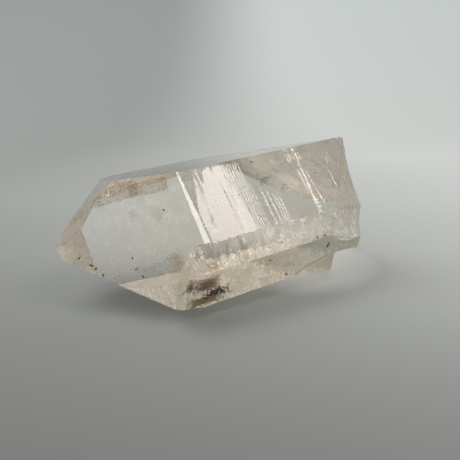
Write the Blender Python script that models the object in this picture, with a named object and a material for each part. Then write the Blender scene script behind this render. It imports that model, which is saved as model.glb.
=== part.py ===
"""A quartz crystal lying on its side: a large main crystal, a low second crystal grown parallel to it
along its lower front edge, and a short broken stub under the root. They grew together, so they are
one solid. X runs along the crystal with the tip towards -X, Y runs away from the front, Z is up, and
the origin is on the ground under the middle of its box. Lengths are in metres, angles in degrees."""

import math
import random

import bmesh
import bpy
from mathutils import Matrix, Vector, noise

MM = 0.001

# How the crystal lies. Every face is placed from one heart point inside the main crystal.
HEART = Vector((-3.066, -0.046, 13.1)) * MM
TIP_DIP = 5.4  # the long axis falls this much towards the tip
FRONT_TURN = 51.4  # the upper front face is turned this far forward from level

# Quartz angles.
PRISM_STEP = 60.0  # from one prism face to the next
POINT_LEAN = 51.8  # from the long axis to the normal of a face of the point

# The six faces round a crystal, counted from the upper front face over the top to the back.
UPPER_FRONT, TOP, UPPER_BACK, LOWER_BACK, UNDER, LOWER_FRONT = range(6)

# Main crystal: distance of each face from the heart point.
MAIN_PRISM = {
    UPPER_FRONT: 13.0 * MM,
    UPPER_BACK: 19.3 * MM,
    LOWER_BACK: 12.6 * MM,
    UNDER: 12.6 * MM,
    LOWER_FRONT: 17.0 * MM,
}
MAIN_POINT = {
    UPPER_FRONT: 15.6 * MM,
    TOP: 22.0 * MM,
    UPPER_BACK: 24.4 * MM,
    LOWER_BACK: 22.8 * MM,
    UNDER: 19.3 * MM,
    LOWER_FRONT: 20.9 * MM,
}
TOP_REACH = 13.57 * MM
TOP_TURN = -5.3  # the top face grew a few degrees off its ideal place
TOP_TIP_LEAN = 1.65
TIP_WEAR = 31.2 * MM  # the tip is worn off at this distance from the heart point

# Second crystal: its own heart point, measured from the main one, and its faces from there.
SECOND_HEART = Vector((2.0, -11.5, -1.0)) * MM
SECOND_PRISM = {
    UPPER_FRONT: 5.23 * MM,
    TOP: 2.3 * MM,
    UPPER_BACK: 6.0 * MM,
    LOWER_BACK: 9.0 * MM,
    UNDER: 9.4 * MM,
    LOWER_FRONT: 7.52 * MM,
}
SECOND_POINT = {
    UPPER_FRONT: 15.9 * MM,
    TOP: 11.1 * MM,
    UPPER_BACK: 6.9 * MM,
    UNDER: 18.0 * MM,
    LOWER_FRONT: 16.65 * MM,
}
ROOT_REACH = 60.0 * MM  # both crystals start out longer than this, before the root is broken off

# Growth steps on the prism faces, as (distance behind the shoulder, depth under the ideal face).
SHOULDER = 8.7 * MM  # the shoulder of the upper front face is this far before the heart point
FRONT_STEPS = (
    (0.6, 0.04),
    (13.2, 0.10),
    (14.2, 0.26),
    (15.0, 0.20),
    (16.7, 0.32),
    (18.8, 0.24),
    (26.6, 0.16),
    (27.6, 0.34),
    (29.3, 0.28),
    (36.0, 0.42),
)
STEP_RUN = 0.25 * MM
SKIN_AHEAD = 2.0 * MM  # the cutter starts this far before the shoulder, clear of the face
SKIN_THICK = 4.0 * MM
CLEAR = 0.1 * MM
OTHER_STEPS = 13
OTHER_STEP_GAP = 3.0
OTHER_STEP_DEPTH = 0.3

# The lower front corner of the second crystal is chipped: this plane is measured from its heart point.
CHIP_FACING = Vector((-0.08, -0.35, -0.93))
CHIP_REACH = 11.8 * MM

# Broken surfaces: each is a few shallow hollows that meet in ridges, with ripples round one point.
# A hollow is (across, up, depth, radius of its curve), in millimetres.
BREAK_CELL = 0.9 * MM
BREAK_CELLS = 62
ROOT_CENTRE = Vector((32.3, -11.0, 3.0)) * MM
ROOT_FACING = Vector((0.93, -0.36, -0.04))
ROOT_HOLLOWS = ((-4, 9, 0.1, 70), (9, 3, 2.2, 60), (-8, -5, 1.3, 50), (5, -9, 1.8, 45), (19, -5, 2.4, 50))
BACK_CENTRE = Vector((20.4, 5.1, 15.8)) * MM
BACK_FACING = Vector((0.47, 0.77, 0.43))
BACK_HOLLOWS = ((-10, 1, 0.5, 60), (5, -3, 1.4, 60), (17, -2, 0.8, 40), (-2, -13, 1.2, 50))
STRUCK_OUT = 2.2  # the ripples run round a point this many times further out than the first hollow
RIPPLE = 0.11 * MM
RIPPLE_WAVE = 3.3 * MM
GRAIN = 0.16 * MM
GRAIN_WAVE = 2.3 * MM

# Two shell-shaped hollows, as a centre measured from the heart point, and a radius.
DENT = (Vector((25.0, -25.6, 4.2)) * MM, 10.4 * MM)  # in the front of the second crystal, at the root
UNDERCUT = (Vector((25.0, -15.0, -31.0)) * MM, 26.0 * MM)  # broken out below it, under the root
SHELL_SEGMENTS = 96

# The stub under the root: how far out each of its sides is near the ground. It widens upwards.
STUB_HEART = Vector((27.9, -5.2, -12.0)) * MM
STUB_SIDES = (3.0, 2.8, 3.5, 3.7, 3.2, 3.1)
STUB_TURN = 14.0
STUB_HALF = 6.0 * MM
STUB_FLARE = 0.1
STUB_LEAN = 6.0


def long_axis():
    """The direction from the root to the tip."""
    dip = math.radians(TIP_DIP)
    return Vector((-math.cos(dip), 0.0, -math.sin(dip)))


def around(turn):
    """A direction square to the long axis, turned forward from straight up."""
    dip = math.radians(TIP_DIP)
    turn = math.radians(turn)
    upward = Vector((-math.sin(dip), 0.0, math.cos(dip)))
    return upward * math.cos(turn) + Vector((0.0, -1.0, 0.0)) * math.sin(turn)


def prism_normal(face):
    return around(FRONT_TURN - PRISM_STEP * face)


def point_normal(face):
    lean = math.radians(POINT_LEAN)
    return long_axis() * math.cos(lean) + prism_normal(face) * math.sin(lean)


def top_normal():
    lean = math.radians(TOP_TIP_LEAN)
    return long_axis() * math.sin(lean) + around(TOP_TURN) * math.cos(lean)


def slice_off(mesh, normal, distance):
    """Cuts away what lies beyond a plane and closes the cut with one flat face."""
    cut = bmesh.ops.bisect_plane(
        mesh,
        geom=mesh.verts[:] + mesh.edges[:] + mesh.faces[:],
        dist=1e-7,
        plane_co=normal * distance,
        plane_no=normal,
        clear_outer=True,
    )
    edges = [piece for piece in cut["geom_cut"] if isinstance(piece, bmesh.types.BMEdge)]
    if edges:
        bmesh.ops.contextual_create(mesh, geom=edges)


def object_from(mesh, name, place, collection):
    """An object in a collection, made from a finished bmesh whose faces are turned outwards."""
    bmesh.ops.recalc_face_normals(mesh, faces=mesh.faces)
    data = bpy.data.meshes.new(name)
    mesh.to_mesh(data)
    mesh.free()
    made = bpy.data.objects.new(name, data)
    made.location = place
    collection.objects.link(made)
    return made


def cut_body(name, heart, planes, collection):
    """A closed convex body: a large cube cut down by planes, each a normal and its distance."""
    mesh = bmesh.new()
    bmesh.ops.create_cube(mesh, size=2.0 * ROOT_REACH)
    for normal, distance in planes:
        slice_off(mesh, normal, distance)
    return object_from(mesh, name, heart, collection)


def main_crystal(collection):
    planes = [(prism_normal(face), reach) for face, reach in MAIN_PRISM.items()]
    planes += [(point_normal(face), reach) for face, reach in MAIN_POINT.items()]
    planes += [(top_normal(), TOP_REACH), (long_axis(), TIP_WEAR)]
    return cut_body("quartz_crystal", HEART, planes, collection)


def second_crystal(collection):
    planes = [(prism_normal(face), reach) for face, reach in SECOND_PRISM.items()]
    planes += [(point_normal(face), reach) for face, reach in SECOND_POINT.items()]
    planes.append((CHIP_FACING.normalized(), CHIP_REACH))
    return cut_body("second_crystal", HEART + SECOND_HEART, planes, collection)


def stub(collection):
    """The broken stump of a small six-sided crystal, leaning a little."""
    lean = Matrix.Rotation(math.radians(STUB_LEAN), 3, "X")
    planes = []
    for side, reach in enumerate(STUB_SIDES):
        turn = math.radians(PRISM_STEP * side + STUB_TURN)
        side_normal = Vector((math.cos(turn), math.sin(turn), -STUB_FLARE)).normalized()
        planes.append((lean @ side_normal, reach * MM))
    planes += [(lean @ Vector((0.0, 0.0, end)), STUB_HALF) for end in (-1.0, 1.0)]
    return cut_body("stub", HEART + STUB_HEART, planes, collection)


def step_cutter(name, normal, reach, steps, collection):
    """Takes a stepped skin off one prism face. Each step runs square to the long axis."""
    back = -long_axis()
    side = normal.cross(back)
    line = [(-SHOULDER - SKIN_AHEAD, CLEAR)]
    depth = 0.0
    for station, deeper in steps:
        start = station * MM - SHOULDER
        line.append((start, -depth))
        depth = deeper * MM
        line.append((start + STEP_RUN, -depth))
    line += [(ROOT_REACH, -depth), (ROOT_REACH, SKIN_THICK), (line[0][0], SKIN_THICK)]
    mesh = bmesh.new()
    ring = [mesh.verts.new(back * along + normal * (reach + up) - side * ROOT_REACH) for along, up in line]
    cap = mesh.faces.new(ring)
    swept = bmesh.ops.extrude_face_region(mesh, geom=[cap])
    moved = [piece for piece in swept["geom"] if isinstance(piece, bmesh.types.BMVert)]
    bmesh.ops.translate(mesh, verts=moved, vec=side * 2.0 * ROOT_REACH)
    return object_from(mesh, name, HEART, collection)


def other_steps(seed):
    """Growth steps for a face that has no marked ones, unevenly spaced and rarely deep."""
    spread = random.Random(seed)
    steps = []
    for step in range(OTHER_STEPS):
        station = 1.0 + OTHER_STEP_GAP * (step + spread.uniform(0.0, 0.8))
        steps.append((station, spread.uniform(0.2, 1.0) ** 2 * OTHER_STEP_DEPTH))
    return steps


def hollow_height(across, up, hollows):
    """Height of a broken surface over its flat plane: the deepest of its hollows, ripples and grain."""
    floor = min(
        -depth * MM + ((across - x * MM) ** 2 + (up - y * MM) ** 2) / (2.0 * radius * MM)
        for x, y, depth, radius in hollows
    )
    struck = STRUCK_OUT * MM * Vector((hollows[0][0], hollows[0][1]))
    ring = (Vector((across, up)) - struck).length
    ripple = RIPPLE * math.sin(2.0 * math.pi * ring / RIPPLE_WAVE)
    return floor + ripple + GRAIN * noise.noise(Vector((across, up, 0.0)) / GRAIN_WAVE)


def break_cutter(name, centre, facing, hollows, collection):
    """A block that takes away all that lies beyond a broken surface."""
    mesh = bmesh.new()
    half = BREAK_CELLS * BREAK_CELL / 2.0
    bmesh.ops.create_grid(mesh, x_segments=BREAK_CELLS, y_segments=BREAK_CELLS, size=half)
    for point in mesh.verts:
        point.co.z = hollow_height(point.co.x, point.co.y, hollows)
    swept = bmesh.ops.extrude_face_region(mesh, geom=mesh.faces[:])
    for piece in swept["geom"]:
        if isinstance(piece, bmesh.types.BMVert):
            piece.co = Vector((2.0 * piece.co.x, 2.0 * piece.co.y, ROOT_REACH))
    turned = facing.to_track_quat("Z", "Y").to_matrix()
    bmesh.ops.rotate(mesh, verts=mesh.verts, cent=(0.0, 0.0, 0.0), matrix=turned)
    return object_from(mesh, name, HEART + centre, collection)


def shell_cutter(name, centre, radius, collection):
    """A ball. What it takes away leaves a hollow like the inside of a shell."""
    mesh = bmesh.new()
    bmesh.ops.create_uvsphere(mesh, u_segments=SHELL_SEGMENTS, v_segments=SHELL_SEGMENTS // 2, radius=radius)
    return object_from(mesh, name, HEART + centre, collection)


def ground_block(collection):
    """Grinds the underside level where the crystal and its stub touch the ground."""
    mesh = bmesh.new()
    bmesh.ops.create_cube(mesh, size=4.0 * ROOT_REACH)
    return object_from(mesh, "ground", Vector((0.0, 0.0, -2.0 * ROOT_REACH)), collection)


def combine(body, operation, other):
    """Adds an exact Boolean to the body, and keeps the other shape out of the model."""
    boolean = body.modifiers.new(other.name, "BOOLEAN")
    boolean.operation = operation
    boolean.solver = "EXACT"
    boolean.object = other
    other.hide_render = True
    other.display_type = "WIRE"


def clear_quartz():
    material = bpy.data.materials.new("clear_quartz")
    material.use_nodes = True
    shader = material.node_tree.nodes["Principled BSDF"]
    shader.inputs["Base Color"].default_value = (0.93, 0.92, 0.88, 1.0)
    shader.inputs["Roughness"].default_value = 0.04
    shader.inputs["IOR"].default_value = 1.544
    shader.inputs["Transmission Weight"].default_value = 1.0
    return material


def build():
    for old in list(bpy.data.objects):
        bpy.data.objects.remove(old, do_unlink=True)
    parts = bpy.data.collections.new("quartz_crystal")
    helpers = bpy.data.collections.new("cutters")
    for collection in (parts, helpers):
        bpy.context.scene.collection.children.link(collection)

    body = main_crystal(parts)
    body.data.materials.append(clear_quartz())
    front = step_cutter("front_steps", prism_normal(UPPER_FRONT), MAIN_PRISM[UPPER_FRONT], FRONT_STEPS, helpers)
    combine(body, "DIFFERENCE", front)
    for face in (UPPER_BACK, LOWER_BACK):
        steps = step_cutter(f"steps_{face}", prism_normal(face), MAIN_PRISM[face], other_steps(face), helpers)
        combine(body, "DIFFERENCE", steps)
    combine(body, "UNION", second_crystal(helpers))
    combine(body, "DIFFERENCE", shell_cutter("dent", *DENT, helpers))
    combine(body, "DIFFERENCE", shell_cutter("undercut", *UNDERCUT, helpers))
    combine(body, "DIFFERENCE", break_cutter("root_break", ROOT_CENTRE, ROOT_FACING, ROOT_HOLLOWS, helpers))
    combine(body, "DIFFERENCE", break_cutter("back_break", BACK_CENTRE, BACK_FACING, BACK_HOLLOWS, helpers))
    combine(body, "UNION", stub(helpers))
    combine(body, "DIFFERENCE", ground_block(helpers))


build()
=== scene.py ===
import math
import random

import bmesh
import bpy
from mathutils import Matrix, Vector, noise


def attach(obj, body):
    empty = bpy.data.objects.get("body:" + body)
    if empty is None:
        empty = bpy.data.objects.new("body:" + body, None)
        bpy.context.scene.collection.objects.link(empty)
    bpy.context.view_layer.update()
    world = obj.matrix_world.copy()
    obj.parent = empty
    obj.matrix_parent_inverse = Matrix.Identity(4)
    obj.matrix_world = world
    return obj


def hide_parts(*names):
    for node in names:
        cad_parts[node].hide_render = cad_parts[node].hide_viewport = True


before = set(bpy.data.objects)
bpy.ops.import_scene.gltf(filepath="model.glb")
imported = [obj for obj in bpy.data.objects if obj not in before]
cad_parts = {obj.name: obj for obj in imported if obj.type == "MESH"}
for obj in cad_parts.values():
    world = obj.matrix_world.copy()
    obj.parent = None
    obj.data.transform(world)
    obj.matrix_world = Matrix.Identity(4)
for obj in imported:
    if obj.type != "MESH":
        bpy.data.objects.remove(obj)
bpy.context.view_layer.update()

# THE CRYSTAL. Clear, slightly smoky quartz, grown as one piece: a main crystal, a second one parallel to it
# along its lower front edge, and a stub under the root. The faces stand at the fixed angles of quartz and
# carry growth steps square to the long axis. The root is broken, and the underside rests on two flats.
# Each face is placed from the heart, a point on the main crystal's long axis, which dips towards the tip.
MM = 0.001
heart = Vector((-3.066, -0.046, 13.1)) * MM
dip = math.radians(5.4)
tip_way = Vector((-math.cos(dip), 0.0, -math.sin(dip)))
root_way = -tip_way
upward = Vector((-math.sin(dip), 0.0, math.cos(dip)))
UPPER_FRONT, TOP, UPPER_BACK, LOWER_BACK, UNDER, LOWER_FRONT = range(6)


def around(turn):
    """The way square to the long axis that lies this many degrees from straight up, towards the front."""
    turn = math.radians(turn)
    return upward * math.cos(turn) + Vector((0.0, -1.0, 0.0)) * math.sin(turn)


def prism(face):
    """The way that a side face looks."""
    front_turn, sixth = 51.4, 60.0
    return around(front_turn - sixth * face)


def point(face):
    """The way that the face of the tip over a side face looks."""
    lean = math.radians(51.8)
    return tip_way * math.cos(lean) + prism(face) * math.sin(lean)


def cut_body(name, centre, planes, surface=None):
    """A closed convex body: a cube larger than the crystal, cut down by planes."""
    mesh = bmesh.new()
    bmesh.ops.create_cube(mesh, size=0.12)
    for normal, reach in planes:
        cut = bmesh.ops.bisect_plane(mesh, geom=mesh.verts[:] + mesh.edges[:] + mesh.faces[:], dist=1e-7,
                                     plane_co=normal * reach * MM, plane_no=normal, clear_outer=True)
        edges = [piece for piece in cut["geom_cut"] if isinstance(piece, bmesh.types.BMEdge)]
        if edges:
            bmesh.ops.contextual_create(mesh, geom=edges)
    return body_from(mesh, name, centre, surface)


def body_from(mesh, name, centre, surface=None):
    """Makes an object of the shape, with its middle at the centre, and marks its faces with a finish."""
    bmesh.ops.recalc_face_normals(mesh, faces=mesh.faces)
    bmesh.ops.translate(mesh, verts=mesh.verts, vec=centre)
    data = bpy.data.meshes.new(name)
    mesh.to_mesh(data)
    mesh.free()
    data.materials.append(surface or clear)
    made = bpy.data.objects.new(name, data)
    bpy.context.scene.collection.objects.link(made)
    return made


def combine(body, other, operation):
    """Joins or cuts the body with another closed shape, for good, and drops the other shape."""
    boolean = body.modifiers.new("join", "BOOLEAN")
    boolean.operation = operation
    boolean.solver = "MANIFOLD"
    boolean.material_mode = "TRANSFER"
    boolean.object = other
    graph = bpy.context.evaluated_depsgraph_get()
    result = bpy.data.meshes.new_from_object(body.evaluated_get(graph))
    body.modifiers.clear()
    old = body.data
    body.data = result
    bpy.data.meshes.remove(old)
    bpy.data.objects.remove(other)


def even(low, high, gap):
    """Evenly spaced places from low up to high, without high itself."""
    count = max(1, round((high - low) / gap))
    return [low + (high - low) * number / count for number in range(count)]


def skin_cutter(name, centre, normal, reach, rows, columns, depth, surface=None):
    """A block over one face. Its lower side is the face as it really grew: depth(a, b) millimetres under
    the ideal plane, a along the crystal towards the root and b across it, anticlockwise seen from outside."""
    across = normal.cross(root_way)
    above = 3.0
    mesh = bmesh.new()
    bmesh.ops.create_grid(mesh, x_segments=len(rows) - 1, y_segments=len(columns) - 1, size=0.5)
    for spot in mesh.verts:
        a = rows[round((spot.co.x + 0.5) * (len(rows) - 1))]
        b = columns[round((spot.co.y + 0.5) * (len(columns) - 1))]
        spot.co = (root_way * a + across * b + normal * (reach - depth(a, b))) * MM
    swept = bmesh.ops.extrude_face_region(mesh, geom=mesh.faces[:])
    for piece in swept["geom"]:
        if isinstance(piece, bmesh.types.BMVert):
            height = piece.co.dot(normal) / MM
            piece.co += normal * (reach + above - height) * MM
    return body_from(mesh, name, centre, surface)


def ramp(value, low, high):
    """Rises smoothly from 0 at low to 1 at high."""
    t = min(1.0, max(0.0, (value - low) / (high - low)))
    return t * t * (3.0 - 2.0 * t)


# Each kind of face: two tints in soft patches, clear and dull roughness, and in millimetres the height of the
# growth lines and the depth of the pits.
finishes = {"smooth": ((1.0, 1.0, 1.0), (0.97, 0.97, 0.98), 0.02, 0.06, 0.0, 0.004),
            "striped": ((1.0, 1.0, 1.0), (0.98, 0.97, 0.96), 0.015, 0.06, 0.004, 0.003),
            "back": ((0.99, 0.98, 0.96), (0.96, 0.95, 0.93), 0.20, 0.42, 0.012, 0.02),
            "cloudy": ((0.93, 0.98, 0.92), (0.98, 0.95, 0.90), 0.06, 0.26, 0.03, 0.05),
            # The next finish is the cloudy one with painted shade: its tints are darkened to stand in for
            # shade on the second crystal's lower front face.
            "cloudy_painted_shade": ((0.52, 0.56, 0.49), (0.58, 0.55, 0.48), 0.06, 0.26, 0.03, 0.05),
            "broken": ((0.97, 0.99, 0.93), (0.98, 0.95, 0.90), 0.25, 0.45, 0.0, 0.05),
            "stained": ((0.74, 0.69, 0.60), (0.66, 0.57, 0.46), 0.25, 0.45, 0.0, 0.04)}
surfaces = {kind: bpy.data.materials.new(kind) for kind in finishes}
clear = surfaces["smooth"]


def quartz():
    """See-through quartz. What differs from face to face is read from the mesh's own attributes."""
    material = bpy.data.materials.new("clear_quartz")
    material.use_nodes = True
    nodes, links = material.node_tree.nodes, material.node_tree.links
    shader = nodes["Principled BSDF"]
    shader.inputs["IOR"].default_value = 1.544
    shader.inputs["Transmission Weight"].default_value = 1.0
    smoke = nodes.new("ShaderNodeVolumeAbsorption")
    smoke.inputs["Color"].default_value = (0.85, 0.78, 0.67, 1.0)
    smoke.inputs["Density"].default_value = 27.0
    links.new(smoke.outputs["Volume"], nodes["Material Output"].inputs["Volume"])
    place = nodes.new("ShaderNodeTexCoord")
    along = nodes.new("ShaderNodeVectorRotate")
    along.rotation_type = "Y_AXIS"
    along.inputs["Angle"].default_value = -dip
    links.new(place.outputs["Object"], along.inputs["Vector"])

    def stored(name, output):
        attribute = nodes.new("ShaderNodeAttribute")
        attribute.attribute_name = name
        return attribute.outputs[output]

    def texture(scale, fine):
        stretch = nodes.new("ShaderNodeMapping")
        stretch.inputs["Scale"].default_value = scale
        links.new(along.outputs["Vector"], stretch.inputs["Vector"])
        cloud = nodes.new("ShaderNodeTexNoise")
        cloud.inputs["Scale"].default_value = 1.0
        cloud.inputs["Detail"].default_value = fine
        links.new(stretch.outputs["Vector"], cloud.inputs["Vector"])
        return cloud.outputs["Fac"]

    def between(value, low, high):
        spread = nodes.new("ShaderNodeMapRange")
        spread.inputs["From Min"].default_value = low
        spread.inputs["From Max"].default_value = high
        links.new(value, spread.inputs["Value"])
        return spread

    mix = nodes.new("ShaderNodeMix")
    mix.data_type = "RGBA"
    patches = between(texture((170.0, 170.0, 170.0), 3.0), 0.4, 0.62)
    links.new(patches.outputs["Result"], mix.inputs["Factor"])
    links.new(stored("tint", "Color"), mix.inputs["A"])
    links.new(stored("other_tint", "Color"), mix.inputs["B"])
    links.new(mix.outputs["Result"], shader.inputs["Base Color"])
    dull = between(texture((420.0, 420.0, 420.0), 4.0), 0.35, 0.65)
    links.new(stored("clear_roughness", "Fac"), dull.inputs["To Min"])
    links.new(stored("dull_roughness", "Fac"), dull.inputs["To Max"])
    links.new(dull.outputs["Result"], shader.inputs["Roughness"])
    rows = nodes.new("ShaderNodeBump")
    links.new(stored("line_height", "Fac"), rows.inputs["Distance"])
    links.new(texture((2600.0, 60.0, 60.0), 3.0), rows.inputs["Height"])
    spots = nodes.new("ShaderNodeBump")
    links.new(stored("pit_depth", "Fac"), spots.inputs["Distance"])
    links.new(texture((900.0, 900.0, 900.0), 2.0), spots.inputs["Height"])
    links.new(rows.outputs["Normal"], spots.inputs["Normal"])
    links.new(spots.outputs["Normal"], shader.inputs["Normal"])
    return material


def finish(body):
    """Writes each face's finish into the mesh, and gives the whole body one material, because light that
    enters by one face leaves by another."""
    data = body.data
    kinds = [finishes[material.name] for material in data.materials]
    used = [kinds[face.material_index] for face in data.polygons]
    for column, name in ((0, "tint"), (1, "other_tint")):
        store = data.attributes.new(name, "FLOAT_COLOR", "FACE")
        store.data.foreach_set("color", [part for kind in used for part in (*kind[column], 1.0)])
    for column, name, unit in ((2, "clear_roughness", 1.0), (3, "dull_roughness", 1.0),
                               (4, "line_height", MM), (5, "pit_depth", MM)):
        store = data.attributes.new(name, "FLOAT", "FACE")
        store.data.foreach_set("value", [kind[column] * unit for kind in used])
    data.polygons.foreach_set("material_index", [0] * len(used))
    data.materials.clear()
    data.materials.append(quartz())


# How far each side face and each face of the tip stands from the heart, in millimetres. The flat top isn't
# quite a side face: the crystal grew unevenly there. A worn strip runs along the tip's upper front edge.
sides = {UPPER_FRONT: 13.0, UPPER_BACK: 19.3, LOWER_BACK: 12.6, UNDER: 12.6, LOWER_FRONT: 17.0}
tips = (15.6, 22.0, 24.4, 22.8, 19.3, 20.9)
top_lean = math.radians(1.65)
top_normal = tip_way * math.sin(top_lean) + around(-5.3) * math.cos(top_lean)
top_reach, end_reach = 13.57, 31.2
main_planes = [(prism(face), reach) for face, reach in sides.items()]
main_planes += [(point(face), reach) for face, reach in enumerate(tips)]
main_planes += [(top_normal, top_reach), (tip_way, end_reach)]
shoulder = Vector((-10.0, -5.5, 13.0))
strip_lean = math.radians(29.0)
worn = prism(UPPER_FRONT) * math.cos(strip_lean) + tip_way * math.sin(strip_lean)
worn = (worn - prism(UPPER_FRONT).cross(root_way) * 0.0052).normalized()
main_planes.append((worn, worn.dot(shoulder) - 0.062))
crystal = cut_body("crystal", heart, main_planes)


def bump(c, start, wide, fade):
    """A small growth step: it climbs over its width, facing the tip, then sinks back slowly."""
    if c <= start or c >= start + wide + fade:
        return 0.0
    if c < start + wide:
        return (c - start) / wide
    return 1.0 - (c - start - wide) / fade


def band(value, low, high, soft):
    """1 between low and high and 0 outside, with soft ends."""
    return ramp(value, low, low + soft) * (1.0 - ramp(value, high - soft, high))


def stepped(seed, base, gap, tall, rough):
    """The depth of a face with uneven growth steps all along it."""
    spread = random.Random(seed)
    steps = []
    place = -30.0
    while place < 40.0:
        low, high = spread.uniform(-24.0, 6.0), spread.uniform(-4.0, 24.0)
        wide, fade = spread.uniform(0.1, 0.35), spread.uniform(0.3, 2.5)
        steps.append((place, wide, fade, tall * spread.random() ** 2, low, high))
        place += gap * spread.uniform(0.3, 1.7)

    def depth(a, b):
        total = base + rough * noise.noise(Vector((a * 0.6, b * 0.45, seed)))
        total += 0.35 * rough * noise.noise(Vector((a * 2.2, b * 2.2, seed)))
        for start, wide, fade, rise, low, high in steps:
            if start < a < start + wide + fade and low < b < high:
                total -= rise * bump(a, start, wide, fade) * band(b, low, high, 1.0)
        return max(0.01, total)
    return depth


# The upper front face. On it c runs from the shoulder, where the tip begins, towards the root, and s down
# from the ridge. Each step has the degrees it leans to the tip, and along s its start and its width.
shoulder_back, ridge_up = 8.72, 7.41


def straight(start, wide, tilt, low, high):
    """A step with straight sides, from low to high along s."""
    end = 0.15
    return tilt, [(low - end, start, 0.0), (low, start, wide), (high, start, wide), (high + end, start, 0.0)]


steps = [straight(26.05, 0.18, 6.0, -1, 2.4), straight(26.65, 0.38, 6.0, -1, 2.4),
         straight(27.5, 0.12, 6.0, -1, 2.3), straight(28.0, 0.12, 6.0, -1, 2.2),
         straight(28.45, 0.62, 6.0, -1, 2.4), straight(29.5, 0.3, 6.0, -1, 2.3),
         (5.5, [(2.5, 28.25, 0.0), (2.7, 28.25, 0.35), (3.4, 28.2, 0.35), (3.8, 28.1, 0.15),
                (4.5, 28.05, 0.5), (6.6, 28.0, 0.6), (7.5, 27.85, 0.5), (9.0, 27.75, 0.65),
                (10.5, 27.5, 0.6), (11.3, 27.4, 0.5), (12.0, 27.25, 1.1), (14.0, 27.2, 1.2),
                (16.0, 27.1, 0.9), (17.0, 27.1, 0.5)]),
         (6.5, [(4.2, 27.15, 0.0), (4.8, 27.1, 0.35), (7.0, 27.1, 0.32), (9.0, 27.1, 0.2),
                (10.5, 27.0, 0.0)]),
         (5.5, [(5.0, 29.2, 0.0), (5.5, 29.25, 0.25), (8.0, 29.3, 0.2), (9.3, 29.3, 0.15),
                (10.0, 29.4, 0.3), (11.2, 29.45, 0.3), (11.8, 29.5, 0.5), (12.8, 29.5, 0.75),
                (13.6, 29.4, 0.5), (14.2, 29.3, 0.0)]),
         (8.0, [(5.2, 35.3, 0.0), (5.6, 35.3, 0.25), (8.0, 35.25, 0.25), (10.4, 35.2, 0.2),
                (10.8, 35.2, 0.0)]),
         (8.0, [(0.8, 38.3, 0.05), (2.0, 37.6, 0.2), (2.9, 36.8, 0.15), (4.0, 36.3, 0.1),
                (5.2, 35.6, 0.1)]),
         (2.0, [(-2.0, 13.27, 0.2), (17.0, 13.24, 0.24)]),
         (3.5, [(4.5, 13.85, 0.0), (6.0, 13.85, 0.2), (17.0, 13.75, 0.22)]),
         (3.5, [(5.0, 14.3, 0.0), (7.0, 14.3, 0.16), (17.0, 14.2, 0.2)]),
         (4.0, [(7.0, 15.8, 0.0), (8.0, 15.75, 0.3), (17.0, 15.6, 0.32)]),
         (4.0, [(7.5, 17.1, 0.0), (9.5, 17.0, 0.26), (17.0, 16.9, 0.3)]),
         (5.0, [(8.0, 18.0, 0.0), (10.0, 18.0, 0.2), (17.0, 17.9, 0.22)]),
         (5.0, [(9.0, 18.6, 0.0), (11.0, 18.6, 0.24), (17.0, 18.5, 0.3)]),
         (5.5, [(8.0, 19.3, 0.0), (10.0, 19.3, 0.22), (17.0, 19.2, 0.3)])]
# Steps that face the root: start, width, degrees, and where they begin and end along s.
sinking = [(3.15, 0.2, 5.0, -2, 6.5), (9.25, 0.2, 5.0, -2, 7.0), (9.8, 0.22, 6.0, -2, 6.0),
           (10.35, 0.16, 5.0, -1.5, 9.0), (6.9, 0.2, 6.0, -2, 2.0), (2.6, 0.14, 4.0, 2.0, 14.0),
           (7.6, 0.12, 4.0, 4, 18)]
spread = random.Random(11)
for number in range(9):
    low = spread.uniform(-3.0, 10.0)
    start, tilt = spread.uniform(0.8, 12.8), spread.uniform(1.5, 4.0)
    sinking.append((start, 0.12, tilt, low, low + spread.uniform(5.0, 12.0)))
# Falls that cross the whole face: start, width and degrees.
falls = [(11.0, 0.22, 4.5), (11.65, 0.25, 4.5), (12.3, 0.28, 5.0), (12.92, 0.30, 6.0)]
# The ridge is worn down to this many millimetres, as c goes on.
worn_ridge = [(-2.0, 0.0), (3.6, 0.0), (3.7, 3.1), (4.2, 3.3), (4.5, 1.6), (5.0, 0.6), (6.4, 0.1),
              (6.7, 0.3), (6.8, 1.5), (7.1, 1.4), (7.2, 0.2), (9.4, 0.2), (14.0, 0.3), (24.0, 0.5),
              (40.0, 0.6)]


def along_table(table, place):
    """Reads a table of places and values, straight from one line to the next."""
    if place <= table[0][0]:
        return table[0][1:]
    for before, after in zip(table, table[1:]):
        if place <= after[0]:
            part = (place - before[0]) / (after[0] - before[0])
            return [one + (two - one) * part for one, two in zip(before[1:], after[1:])]
    return table[-1][1:]


def slope(degrees):
    return math.tan(math.radians(degrees))


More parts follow.
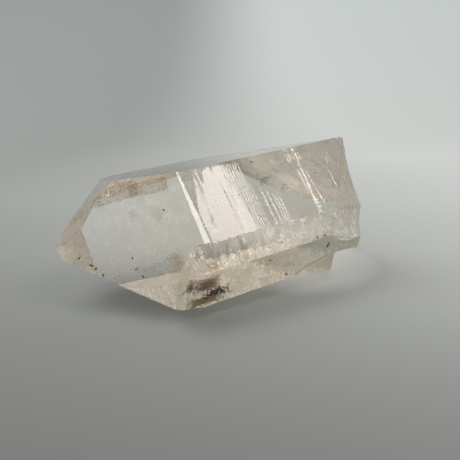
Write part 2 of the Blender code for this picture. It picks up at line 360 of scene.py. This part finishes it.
def front_depth(a, b):
    """How deep the upper front face lies under its ideal plane, in millimetres."""
    c, s = a + shoulder_back, ridge_up - b
    total = 0.05 + 0.010 * noise.noise(Vector((a * 0.3, b * 0.15, 1.0)))
    # Past the falls it sinks for a short way, and beside the shoulder it leans to the tip, most at the ridge.
    low, high = 13.4, 16.5
    total += slope(1.6) * (min(max(c, low), high) - low)
    for start, wide, tilt in falls:
        total += slope(tilt) * min(max(c - start, 0.0), wide)
    wedge = max(0.5, 3.0 - 0.27 * s)
    if c < wedge:
        total += slope(2.5) * (wedge - max(c, 0.0))
    # The ridge is worn along an uneven edge.
    ridge = along_table(worn_ridge, c + 0.15 * noise.noise(Vector((a * 2.0, b * 2.0, 3.0))))[0]
    ridge += 0.25 * noise.noise(Vector((a * 1.7, b * 1.7, 9.0)))
    if s < ridge:
        total += 0.055 * (ridge - max(s, -0.5))
    fade = 0.4
    for tilt, table in steps:
        if table[0][0] < s < table[-1][0]:
            start, wide = along_table(table, s)
            start += (0.02 + 0.1 * wide) * noise.noise(Vector((s * 0.9, start, 7.0)))
            if wide > 0.01 and start < c < start + wide + fade:
                total -= slope(tilt) * wide * bump(c, start, wide, fade)
    climb, soft = 0.5, 1.5
    for start, wide, tilt, low, high in sinking:
        if start - climb < c < start + wide and low < s < high:
            total -= slope(tilt) * wide * bump(c, start - climb, climb, wide) * band(s, low, high, soft)
    return max(0.01, total)


lengths = even(-3.3, -0.5, 0.4) + even(-0.5, 19.6, 0.06) + even(19.6, 25.9, 0.3) + even(25.9, 31.0, 0.07)
lengths += even(31.0, 35.0, 0.4) + even(35.0, 38.5, 0.08) + even(38.5, 42.7, 0.5) + [42.7]
heights = even(-10.5, 1.4, 0.45) + even(1.4, 9.5, 0.25) + [9.5]
front = skin_cutter("front_skin", heart, prism(UPPER_FRONT), sides[UPPER_FRONT],
                    [place - shoulder_back for place in lengths], heights, front_depth, surfaces["striped"])
combine(crystal, front, "DIFFERENCE")
for face, seed in ((UPPER_BACK, 2), (LOWER_BACK, 3), (UNDER, 4)):
    growth = stepped(seed, 0.12, 2.6, 0.05, 0.008)
    skin = skin_cutter("skin", heart, prism(face), sides[face], even(-30.0, 40.0, 0.27) + [40.0],
                       even(-22.0, 22.0, 4.4) + [22.0], growth, surfaces["back"])
    combine(crystal, skin, "DIFFERENCE")

# The second crystal, with rougher faces. Its underside is split off on the slant.
second_heart = heart + Vector((2.0, -11.5, -1.0)) * MM
second_sides = {UPPER_FRONT: 5.23, TOP: 2.5, UPPER_BACK: 6.0, LOWER_BACK: 9.0, UNDER: 9.4, LOWER_FRONT: 7.52}
second_tips = {UPPER_FRONT: 15.9, TOP: 11.1, UPPER_BACK: 6.9, UNDER: 18.0, LOWER_FRONT: 16.65}
split, split_reach = Vector((-0.08, -0.35, -0.93)).normalized(), 11.8
second_planes = [(prism(face), reach) for face, reach in second_sides.items()]
second_planes += [(point(face), reach) for face, reach in second_tips.items()]
second_planes.append((split, split_reach))
second = cut_body("second_crystal", second_heart, second_planes, surfaces["cloudy"])
# The lower front face takes the cloudy finish with painted shade.
for face, seed, base, rough, look in ((UPPER_FRONT, 5, 0.14, 0.06, "cloudy"),
                                      (LOWER_FRONT, 6, 0.14, 0.06, "cloudy_painted_shade"),
                                      (UNDER, 7, 0.14, 0.04, "cloudy"), (TOP, 8, 0.20, 0.22, "cloudy")):
    growth = stepped(seed, base, 1.1, 0.07, rough)
    skin = skin_cutter("skin", second_heart, prism(face), second_sides[face],
                       even(-20.0, 40.0, 0.2) + [40.0], even(-13.0, 13.0, 1.0) + [13.0], growth,
                       surfaces[look])
    combine(second, skin, "DIFFERENCE")
combine(crystal, second, "UNION")


def ball(centre, radius):
    """A ball whose centre is given from the heart, in millimetres."""
    mesh = bmesh.new()
    bmesh.ops.create_uvsphere(mesh, u_segments=128, v_segments=64, radius=radius * MM)
    return body_from(mesh, "hollow", heart + Vector(centre) * MM)


# Two smooth shell-shaped hollows, where chips broke off the root's front and underside.
combine(crystal, ball((25.0, -25.6, 4.2), 10.4), "DIFFERENCE")
combine(crystal, ball((25.0, -15.0, -31.0), 26.0), "DIFFERENCE")


def break_cutter(centre, facing, hollows):
    """Takes away all beyond a broken surface. Each shell-shaped hollow in it has its middle across and up,
    its depth and its radius, and ripples run round the first one."""
    half_width, above, ripple = 28.0 * MM, 60.0 * MM, 3.3
    mesh = bmesh.new()
    bmesh.ops.create_grid(mesh, x_segments=112, y_segments=112, size=half_width)
    for spot in mesh.verts:
        x, y = spot.co.x / MM, spot.co.y / MM
        floor = min(-d + ((x - u) ** 2 + (y - v) ** 2) / (2.0 * r) for u, v, d, r in hollows)
        ring = math.hypot(x - 2.2 * hollows[0][0], y - 2.2 * hollows[0][1])
        floor += 0.04 * math.sin(2.0 * math.pi * ring / ripple)
        floor += 0.10 * noise.noise(Vector((x, y, 0.0)) / 3.6)
        spot.co.z = floor * MM
    swept = bmesh.ops.extrude_face_region(mesh, geom=mesh.faces[:])
    for piece in swept["geom"]:
        if isinstance(piece, bmesh.types.BMVert):
            piece.co = Vector((2.0 * piece.co.x, 2.0 * piece.co.y, above))
    turn = Vector(facing).to_track_quat("Z", "Y").to_matrix()
    bmesh.ops.rotate(mesh, verts=mesh.verts, cent=(0, 0, 0), matrix=turn)
    return body_from(mesh, "break", heart + Vector(centre) * MM, surfaces["broken"])


root_hollows = ((-4, 9, 0.1, 70), (9, 3, 2.2, 60), (-8, -5, 1.3, 50), (5, -9, 1.8, 45), (19, -5, 2.4, 50))
back_hollows = ((-10, 1, 0.5, 60), (5, -3, 1.4, 60), (17, -2, 0.8, 40), (-2, -13, 1.2, 50))
combine(crystal, break_cutter((32.3, -11.0, 3.0), (0.93, -0.36, -0.04), root_hollows), "DIFFERENCE")
combine(crystal, break_cutter((20.4, 5.1, 15.8), (0.47, 0.77, 0.43), back_hollows), "DIFFERENCE")

# The stub: a short six-sided piece that leans a little, stained with rust.
stub_centre, half_stub = Vector((27.9, -5.2, -12.0)), 6.0
lean = Matrix.Rotation(math.radians(6.0), 3, "X")
stub_planes = [(lean @ Vector((0.0, 0.0, end)), half_stub) for end in (-1.0, 1.0)]
for side, reach in enumerate((3.0, 2.8, 3.5, 3.7, 3.2, 3.1)):
    turn = math.radians(60.0 * side + 14.0)
    stub_planes.append((lean @ Vector((math.cos(turn), math.sin(turn), -0.1)).normalized(), reach))
combine(crystal, cut_body("stub", heart + stub_centre * MM, stub_planes, surfaces["stained"]), "UNION")

# Both the underside and the stub are worn flat where they rest on the ground.
block = 0.24
mesh = bmesh.new()
bmesh.ops.create_cube(mesh, size=block)
ground = body_from(mesh, "ground", Vector((0.0, 0.0, -block / 2.0)), surfaces["back"])
combine(crystal, ground, "DIFFERENCE")
for face in crystal.data.polygons:
    face.use_smooth = False
finish(crystal)

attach(crystal, "root")
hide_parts("quartz_crystal")

# THE RUST STAIN. Rust, ochre and dark ore that seeped into cracks near the tip of the second crystal and
# set there as fine grains, with a few pale needles that grew across them. It all lies just under the faces.


def mineral(name, dark, pale, roughness):
    """An uneven mineral colour."""
    material = bpy.data.materials.new(name)
    material.use_nodes = True
    nodes, links = material.node_tree.nodes, material.node_tree.links
    place = nodes.new("ShaderNodeTexCoord")
    cloud = nodes.new("ShaderNodeTexNoise")
    cloud.inputs["Scale"].default_value = 1400.0
    links.new(place.outputs["Object"], cloud.inputs["Vector"])
    mix = nodes.new("ShaderNodeMix")
    mix.data_type = "RGBA"
    mix.inputs["A"].default_value = (*dark, 1.0)
    mix.inputs["B"].default_value = (*pale, 1.0)
    links.new(cloud.outputs["Fac"], mix.inputs["Factor"])
    links.new(mix.outputs["Result"], nodes["Principled BSDF"].inputs["Base Color"])
    nodes["Principled BSDF"].inputs["Roughness"].default_value = roughness
    return material


def grain_tree():
    """Grains on the points of the mesh, and more of them strewn in a box that thins out from its middle."""
    tree = bpy.data.node_groups.new("grains", "GeometryNodeTree")
    tree.is_modifier = True
    tree.interface.new_socket("Geometry", in_out="INPUT", socket_type="NodeSocketGeometry")
    for name, kind in (("Count", "Int"), ("Seed", "Int"), ("Half Size", "Vector"), ("Smallest", "Float"),
                       ("Largest", "Float"), ("Evenness", "Float"), ("Stretch", "Vector"), ("Spin", "Vector"),
                       ("Centre", "Vector"), ("Turn", "Vector"), ("Material", "Material")):
        tree.interface.new_socket(name, in_out="INPUT", socket_type="NodeSocket" + kind)
    tree.interface.new_socket("Geometry", in_out="OUTPUT", socket_type="NodeSocketGeometry")
    nodes, links = tree.nodes, tree.links
    given, made = nodes.new("NodeGroupInput"), nodes.new("NodeGroupOutput")

    def random_value(kind, low, high, offset):
        value = nodes.new("FunctionNodeRandomValue")
        value.data_type = kind
        seed = nodes.new("ShaderNodeMath")
        seed.inputs[1].default_value = offset
        links.new(given.outputs["Seed"], seed.inputs[0])
        links.new(seed.outputs[0], value.inputs["Seed"])
        for name, end in (("Min", low), ("Max", high)):
            if isinstance(end, bpy.types.NodeSocket):
                links.new(end, value.inputs[name])
            else:
                value.inputs[name].default_value = end
        return value.outputs["Value"]

    def times(first, second):
        product = nodes.new("ShaderNodeVectorMath")
        product.operation = "MULTIPLY"
        links.new(first, product.inputs[0])
        links.new(second, product.inputs[1])
        return product.outputs[0]

    anywhere = random_value("FLOAT_VECTOR", (-1.0, -1.0, -1.0), (1.0, 1.0, 1.0), 1)
    scattered = times(anywhere, given.outputs["Half Size"])
    crowded = times(scattered, random_value("FLOAT", given.outputs["Evenness"], 1.0, 2))
    points = nodes.new("GeometryNodePoints")
    links.new(given.outputs["Count"], points.inputs["Count"])
    links.new(crowded, points.inputs["Position"])
    own = nodes.new("GeometryNodeMeshToPoints")
    links.new(given.outputs["Geometry"], own.inputs["Mesh"])
    both = nodes.new("GeometryNodeJoinGeometry")
    links.new(points.outputs[0], both.inputs[0])
    links.new(own.outputs[0], both.inputs[0])
    grain = nodes.new("GeometryNodeMeshIcoSphere")
    grain.inputs["Radius"].default_value = 1.0
    strewn = nodes.new("GeometryNodeInstanceOnPoints")
    links.new(both.outputs[0], strewn.inputs["Points"])
    links.new(grain.outputs["Mesh"], strewn.inputs["Instance"])
    reverse = nodes.new("ShaderNodeVectorMath")
    reverse.operation = "SCALE"
    reverse.inputs["Scale"].default_value = -1.0
    links.new(given.outputs["Spin"], reverse.inputs[0])
    spun = nodes.new("FunctionNodeEulerToRotation")
    links.new(random_value("FLOAT_VECTOR", reverse.outputs[0], given.outputs["Spin"], 3), spun.inputs[0])
    links.new(spun.outputs[0], strewn.inputs["Rotation"])
    size = random_value("FLOAT", given.outputs["Smallest"], given.outputs["Largest"], 4)
    links.new(times(given.outputs["Stretch"], size), strewn.inputs["Scale"])
    placed = nodes.new("GeometryNodeTransform")
    turn = nodes.new("FunctionNodeEulerToRotation")
    links.new(given.outputs["Turn"], turn.inputs[0])
    links.new(turn.outputs[0], placed.inputs["Rotation"])
    links.new(given.outputs["Centre"], placed.inputs["Translation"])
    real = nodes.new("GeometryNodeRealizeInstances")
    painted = nodes.new("GeometryNodeSetMaterial")
    links.new(given.outputs["Material"], painted.inputs["Material"])
    chain = (strewn, placed, real, painted, made)
    for before, after in zip(chain, chain[1:]):
        links.new(before.outputs[0], after.inputs[0])
    return tree


grains = grain_tree()


def keep_inside(mesh):
    """Takes away each grain that isn't wholly inside the crystal."""
    cover = 0.01 * MM
    shape = bmesh.new()
    shape.from_mesh(mesh)
    waiting = []
    for corner in shape.verts:
        spot, way = crystal.closest_point_on_mesh(corner.co)[1:3]
        if (spot - corner.co).dot(way) < cover:
            waiting.append(corner)
    lost = set(waiting)
    while waiting:
        for edge in waiting.pop().link_edges:
            for corner in edge.verts:
                if corner not in lost:
                    lost.add(corner)
                    waiting.append(corner)
    bmesh.ops.delete(shape, geom=list(lost), context="VERTS")
    shape.to_mesh(mesh)
    shape.free()


def hold(name, face, spot, half, count, sizes, material, stretch=(1, 1, 1), spin=(3, 3, 3), swing=0.0,
         dots=(), evenness=0.35):
    """Grains in a thin box under one face. The spot is the middle of the box and half is half its size, then
    come the count and the smallest and largest size. Stretch shapes each grain, spin is how far it may turn,
    and swing turns the whole box. With evenness 1 they don't crowd in the middle. More grains can be put on
    chosen dots. Places are in millimetres along the face towards the root, up across it, and outwards."""
    normal, base = face
    side = normal.cross(root_way).normalized()
    along = side.cross(normal)
    frame_of_face = Matrix((along, side, normal)).transposed()
    data = bpy.data.meshes.new(name)
    data.from_pydata([Vector(dot) * MM - Vector(spot) * MM for dot in dots], [], [])
    holder = bpy.data.objects.new(name, data)
    bpy.context.scene.collection.objects.link(holder)
    modifier = holder.modifiers.new("grains", "NODES")
    modifier.node_group = grains
    turn = frame_of_face @ Matrix.Rotation(math.radians(swing), 3, "Z")
    values = {"Count": count, "Seed": len(name) + count, "Half Size": tuple(length * MM for length in half),
              "Smallest": sizes[0] * MM, "Largest": sizes[1] * MM, "Evenness": evenness,
              "Stretch": stretch, "Spin": spin, "Centre": base + frame_of_face @ Vector(spot) * MM,
              "Turn": turn.to_euler(), "Material": material}
    for socket in grains.interface.items_tree:
        if socket.in_out == "INPUT" and socket.name in values:
            value = values[socket.name]
            if socket.socket_type.endswith("Vector"):
                value = tuple(map(float, value))
            modifier[socket.identifier] = value
    graph = bpy.context.evaluated_depsgraph_get()
    mesh = bpy.data.meshes.new_from_object(holder.evaluated_get(graph))
    holder.modifiers.clear()
    holder.data = mesh
    bpy.data.meshes.remove(data)
    keep_inside(mesh)
    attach(holder, "root")


rust = mineral("rust", (0.30, 0.11, 0.045), (0.52, 0.23, 0.11), 0.8)
red_dust = mineral("red_dust", (0.52, 0.22, 0.10), (0.74, 0.42, 0.24), 0.8)
ore = mineral("dark_ore", (0.025, 0.018, 0.012), (0.13, 0.085, 0.05), 0.6)
ochre = mineral("ochre", (0.68, 0.48, 0.22), (0.85, 0.66, 0.38), 0.7)
pale_ochre = mineral("pale_ochre", (0.60, 0.42, 0.22), (0.76, 0.60, 0.40), 0.7)
mauve = mineral("iron_dust", (0.33, 0.26, 0.24), (0.50, 0.42, 0.38), 0.8)
pale = mineral("pale_needles", (0.80, 0.68, 0.60), (0.95, 0.88, 0.82), 0.35)
second_front, second_lower = (prism(UPPER_FRONT), second_heart), (prism(LOWER_FRONT), second_heart)
lying = (0.3, 0.3, 3)

hold("rust_grains", second_lower, (-13.6, -1.0, 7.15), (2.8, 1.8, 0.15), 380, (0.04, 0.13), rust,
     (1, 1, 0.6))
hold("rust_dust", second_lower, (-13.4, -1.0, 7.1), (3.7, 2.3, 0.2), 1500, (0.03, 0.11), red_dust,
     (1, 1, 0.6))
hold("rust_core", second_lower, (-11.2, -3.5, 7.2), (3.4, 1.4, 0.1), 330, (0.06, 0.24), ore, (1, 1, 0.6),
     dots=((-13.2, 0.2, 7.3), (-13.1, 0.3, 7.3), (-13.0, 0.2, 7.3), (-13.1, 0.1, 7.3)))
hold("rust_film", second_lower, (-13.4, -4.8, 7.15), (4.4, 1.4, 0.15), 1000, (0.05, 0.17), ochre,
     (1, 1, 0.12), lying)
hold("rust_patch", second_front, (-11.8, -4.4, 4.8), (2.2, 0.9, 0.15), 320, (0.03, 0.10), pale_ochre,
     (1, 1, 0.2), lying)
hold("iron_dust", second_lower, (-17.0, -0.5, 7.1), (1.4, 1.5, 0.2), 420, (0.03, 0.11), mauve)
hold("needles", second_lower, (-15.1, 0.0, 7.3), (1.1, 0.6, 0.04), 11, (0.7, 1.2), pale, (0.24, 1, 0.10),
     (0.1, 0.1, 0.35))

# OPEN CRACKS. Short cracks just under the second crystal's faces, filled with air, so they shine. Their shine
# is a
# painted highlight: near-white flakes stand in for the light the cracks reflect. A healed one on its lower
# face has left only a ring of faint marks.
second_tip = (point(LOWER_FRONT), second_heart)
glints = mineral("painted_crack_glints", (1.0, 0.90, 0.74), (1.0, 0.98, 0.94), 0.15)
bubbles = mineral("bubbles", (0.42, 0.42, 0.41), (0.62, 0.62, 0.60), 0.4)
hold("crack_glints", second_front, (-5.4, -4.9, 4.9), (3.0, 0.8, 0.15), 60, (0.25, 0.75), glints,
     (0.17, 1, 0.06), (0.4, 0.3, 0.3))
hold("edge_glints", second_front, (9.5, -1.3, 5.0), (7.5, 0.7, 0.2), 110, (0.05, 0.20), glints,
     (1, 0.5, 0.3), (0.5, 0.5, 3), -6.0)
hold("ring_marks", second_lower, (4.7, -3.1, 7.2), (1.4, 0.9, 0.1), 40, (0.05, 0.16), bubbles,
     (1, 0.4, 0.3))
hold("lower_glints", second_tip, (-11.2, -1.9, 16.3), (1.7, 0.7, 0.08), 14, (0.35, 0.6), glints,
     (1, 0.7, 0.2), (0.5, 0.5, 3))

# DARK GRAINS. Single specks of dark ore that the quartz grew round, most of them along the lower edges.
# They lie flat under the faces and are put in place one by one.
main_front, tip_front = (prism(UPPER_FRONT), heart), (point(UPPER_FRONT), heart)
flat = (0.2, 0.2, 3)
hold("dark_grains", second_lower, (0, 0, 7.1), (1, 1, 1), 0, (0.28, 0.46), ore, (1.0, 0.7, 0.5), flat,
     dots=((15.9, -0.3, 7.2), (15.85, -0.6, 7.2), (15.8, -0.9, 7.2), (15.75, -1.2, 7.2), (0.1, -0.2, 7.2),
           (0.4, 0.1, 7.2), (1.2, -3.5, 7.2), (-3.2, -5.7, 7.2), (-2.9, -5.75, 7.2), (-2.6, -5.7, 7.2),
           (5.7, -5.3, 7.2), (21.8, -2.5, 7.2)))
hold("ledge_grains", second_front, (0, 0, 4.9), (1, 1, 1), 0, (0.28, 0.46), ore, (1.0, 0.7, 0.5), flat,
     dots=((12.45, -5.05, 4.9), (14.4, -5.1, 4.9), (3.96, -3.94, 4.9), (8.74, -4.99, 4.9)))
hold("tip_grains", tip_front, (0, 0, 15.0), (1, 1, 1), 0, (0.25, 0.42), ore, (1.0, 0.6, 0.5), flat,
     dots=((-23.6, 1.0, 15.3), (-21.9, -1.4, 15.3), (-21.6, -1.6, 15.3), (-21.1, -2.5, 15.3),
           (-20.2, -4.3, 15.3), (-13.0, -8.1, 15.3), (-13.7, -6.2, 15.3), (-13.6, -3.9, 15.3),
           (-4.5, 1.9, 15.3)))
hold("front_grains", main_front, (0, 0, 12.5), (1, 1, 1), 0, (0.22, 0.36), ore, (1.0, 0.6, 0.5), flat,
     dots=((8.1, 6.85, 12.6), (8.4, 6.7, 12.6), (7.8, -3.1, 12.6)))

# AMBER FILM. A thin film of iron-coloured dust that a growing crystal covered over, under the upper edge of
# the tip, and a small ochre patch lower on the same face.
amber = mineral("amber_film", (0.48, 0.29, 0.11), (0.64, 0.43, 0.20), 0.7)
hold("point_rust", tip_front, (-6.1, -8.2, 14.3), (1.9, 2.6, 0.3), 520, (0.03, 0.11), pale_ochre,
     (1, 1, 0.2), lying)
hold("amber_film", tip_front, (-12.2, 9.6, 15.4), (4.8, 1.7, 0.05), 2700, (0.025, 0.065), amber,
     swing=-12.0, evenness=1.0)
hold("amber_film_end", tip_front, (-5.6, 7.6, 15.45), (4.0, 1.45, 0.05), 2000, (0.025, 0.065), amber,
     swing=-14.0, evenness=1.0)
hold("amber_front", main_front, (-7.4, 6.5, 12.75), (1.2, 1.2, 0.05), 200, (0.025, 0.06), amber,
     evenness=1.0)

# VEILS. Healed cracks inside the main crystal, left as thin clouds of tiny bubbles. They hang within two
# or three millimetres of its front faces.
hold("low_veil", tip_front, (-10.5, -7.2, 14.0), (5.2, 1.3, 0.5), 420, (0.02, 0.07), bubbles, swing=-8.0)
hold("smudge", tip_front, (-10.8, 4.2, 14.4), (0.8, 1.3, 0.3), 120, (0.02, 0.06), bubbles)
hold("mid_veil", tip_front, (-6.4, 1.8, 13.0), (1.8, 2.4, 0.6), 260, (0.02, 0.05), bubbles)
hold("front_veil", main_front, (7.2, 3.6, 12.0), (3.6, 0.9, 0.5), 330, (0.03, 0.07), bubbles, swing=-38.0)
hold("side_veil", main_front, (9.0, 1.9, 12.0), (1.2, 1.2, 0.4), 220, (0.03, 0.08), bubbles)
hold("low_front_veil", main_front, (13.2, -0.3, 12.0), (1.7, 1.3, 0.4), 260, (0.03, 0.09), bubbles,
     (1, 0.5, 0.5))
hold("high_veil", main_front, (10.4, 2.7, 12.0), (1.6, 0.5, 0.4), 160, (0.03, 0.08), bubbles)

# MARKS UNDER THE TOP. Fine scratches along the crystal, a streak of ochre near the tip, and rust near the
# back edge. They are thin flakes just under the flat top face.
flat_top = (top_normal, heart)
hold("top_scratches", flat_top, (-2.0, 4.0, 13.45), (9.0, 8.5, 0.02), 26, (0.8, 2.6), bubbles,
     (1, 0.05, 0.02), (0.0, 0.0, 0.12))
hold("top_stain", flat_top, (-9.5, -4.0, 13.4), (4.5, 1.4, 0.02), 60, (0.1, 0.9), ochre, (1, 0.12, 0.1),
     (0.0, 0.0, 0.2), -50.0)
hold("ridge_stain", flat_top, (17.6, 6.4, 13.4), (2.6, 0.9, 0.02), 70, (0.05, 0.4), rust, (1, 0.3, 0.1),
     (0.0, 0.0, 0.5))

# THE FLOOR. A plain pale sheet of plaster under the crystal, which curves up behind it. Its grey is painted
# lighter towards the back and the right as painted light, and a painted pool of light lies in one spot near
# the crystal.
mesh = bmesh.new()
bmesh.ops.create_grid(mesh, x_segments=1, y_segments=60, size=1.0)
half_width, shift, bend, radius = 2.5, 0.45, 0.4, 1.2
for spot in mesh.verts:
    run = spot.co.y + shift
    turn = max((run - bend) / radius, 0.0)
    along, up = min(run, bend) + radius * math.sin(turn), radius * (1.0 - math.cos(turn))
    spot.co = Vector((spot.co.x * half_width, along, up))
floor = body_from(mesh, "floor", Vector((0.0, 0.0, -0.1)) * MM)
floor.rotation_euler = (0.0, 0.0, math.radians(-32.9))
for face in floor.data.polygons:
    face.use_smooth = True
plaster = bpy.data.materials.new("plaster")
plaster.use_nodes = True
nodes, links = plaster.node_tree.nodes, plaster.node_tree.links
nodes["Principled BSDF"].inputs["Roughness"].default_value = 0.8
place = nodes.new("ShaderNodeTexCoord")
parts = nodes.new("ShaderNodeSeparateXYZ")
links.new(place.outputs["Object"], parts.inputs["Vector"])


def paint(tones):
    """A grey that changes from the front of the floor to the back: painted light, lighter towards the back.
    """
    fade = nodes.new("ShaderNodeMapRange")
    fade.inputs["From Min"].default_value = -0.07
    fade.inputs["From Max"].default_value = 0.30
    links.new(parts.outputs["Y"], fade.inputs["Value"])
    grey = nodes.new("ShaderNodeValToRGB")
    stops = grey.color_ramp.elements
    for share in (0.14, 0.25, 0.45):
        stops.new(share)
    for stop, tone in zip(stops, tones):
        stop.color = (tone * 0.97, tone, tone * 0.985, 1.0)
    links.new(fade.outputs["Result"], grey.inputs["Fac"])
    return grey.outputs["Color"]


side = nodes.new("ShaderNodeMapRange")
side.interpolation_type = "SMOOTHSTEP"
side.inputs["From Min"].default_value = -0.17
side.inputs["From Max"].default_value = 0.15
links.new(parts.outputs["X"], side.inputs["Value"])
mix = nodes.new("ShaderNodeMix")
mix.data_type = "RGBA"
links.new(side.outputs["Result"], mix.inputs["Factor"])
# Painted light: the left tones are darker than the right ones, so the floor is darker at the front left and
# lighter at the back right.
left_tones, right_tones = (0.090, 0.135, 0.215, 0.29, 0.30), (0.220, 0.43, 0.490, 0.54, 0.62)
links.new(paint(left_tones), mix.inputs["A"])
links.new(paint(right_tones), mix.inputs["B"])
# Painted pool of light: a soft white spot mixed into the floor near the crystal, standing in for light the
# crystal gathers there.
painted_light_pool = nodes.new("ShaderNodeTexGradient")
painted_light_pool.gradient_type = "SPHERICAL"
painted_pool_place = nodes.new("ShaderNodeMapping")
painted_pool_place.inputs["Scale"].default_value = (45.0, 42.0, 45.0)
painted_pool_place.inputs["Location"].default_value = (-0.81, -0.59, 0.0)
links.new(place.outputs["Object"], painted_pool_place.inputs["Vector"])
links.new(painted_pool_place.outputs["Vector"], painted_light_pool.inputs["Vector"])
painted_pool_mix = nodes.new("ShaderNodeMix")
painted_pool_mix.data_type = "RGBA"
painted_pool_mix.inputs["B"].default_value = (1.0, 1.0, 1.0, 1.0)
links.new(painted_light_pool.outputs["Fac"], painted_pool_mix.inputs["Factor"])
links.new(mix.outputs["Result"], painted_pool_mix.inputs["A"])
links.new(painted_pool_mix.outputs["Result"], nodes["Principled BSDF"].inputs["Base Color"])
floor.data.materials.clear()
floor.data.materials.append(plaster)

# LIGHT AND CAMERA. A large soft window behind on the left, a small one overhead that the upper front face
# mirrors, a narrow lamp that lights the worn strip, and pale walls all round.


def panel(name, place, aim, size, power, colour, turn=0.0):
    """A flat lamp at a place in metres, aimed at another, with its size in metres and power in watts."""
    light = bpy.data.lights.new(name, "AREA")
    light.shape = "RECTANGLE"
    light.size, light.size_y = size
    light.energy = power
    light.color = colour
    lamp = bpy.data.objects.new(name, light)
    lamp.location = place
    facing = (Vector(aim) - Vector(place)).to_track_quat("-Z", "Y").to_matrix()
    lamp.rotation_euler = (facing @ Matrix.Rotation(math.radians(turn), 3, "Z")).to_euler()
    bpy.context.scene.collection.objects.link(lamp)


panel("window", (-0.43, 0.61, 1.19), (0.0, 0.0, 0.0), (1.1, 1.1), 7.4, (1.0, 0.99, 0.97))
panel("small_window", (0.261, -0.270, 0.52), (0.261, -0.2699, 0.0), (0.102, 0.172), 0.44,
      (1.0, 0.885, 0.84), 25.0)
panel("side_lamp", (-0.335, -0.272, 0.453), (-0.007, -0.012, 0.018), (0.045, 0.13), 0.155,
      (1.0, 0.96, 0.93), 33.0)

world = bpy.data.worlds.new("world")
bpy.context.scene.world = world
world.use_nodes = True
nodes, links = world.node_tree.nodes, world.node_tree.links
where = nodes.new("ShaderNodeTexCoord")
towards = nodes.new("ShaderNodeVectorMath")
towards.operation = "DOT_PRODUCT"
towards.inputs[1].default_value = (0.709, 0.41, 0.574)
links.new(where.outputs["Generated"], towards.inputs[0])
walls = nodes.new("ShaderNodeMapRange")
walls.inputs["From Min"].default_value = -0.7
links.new(towards.outputs["Value"], walls.inputs["Value"])
tone = nodes.new("ShaderNodeMix")
tone.data_type = "RGBA"
tone.inputs["A"].default_value = (0.95, 1.03, 1.07, 1.0)
tone.inputs["B"].default_value = (0.51, 0.48, 0.43, 1.0)
links.new(walls.outputs["Result"], tone.inputs["Factor"])
links.new(tone.outputs["Result"], nodes["Background"].inputs["Color"])
nodes["Background"].inputs["Strength"].default_value = 1.08

lens = bpy.data.cameras.new("camera")
lens.lens = 37.565
lens.sensor_width = 36.0
lens.clip_start = 0.005
camera = bpy.data.objects.new("camera", lens)
camera.location = Vector((-54.774, -88.103, 37.533)) * MM
camera.rotation_euler = (math.radians(76.0), 0.0, math.radians(-32.93))
bpy.context.scene.collection.objects.link(camera)
bpy.context.scene.camera = camera
bpy.context.scene.view_settings.view_transform = "Standard"
bpy.context.scene.cycles.max_bounces = 32
bpy.context.scene.cycles.transmission_bounces = 32
bpy.context.scene.cycles.glossy_bounces = 32
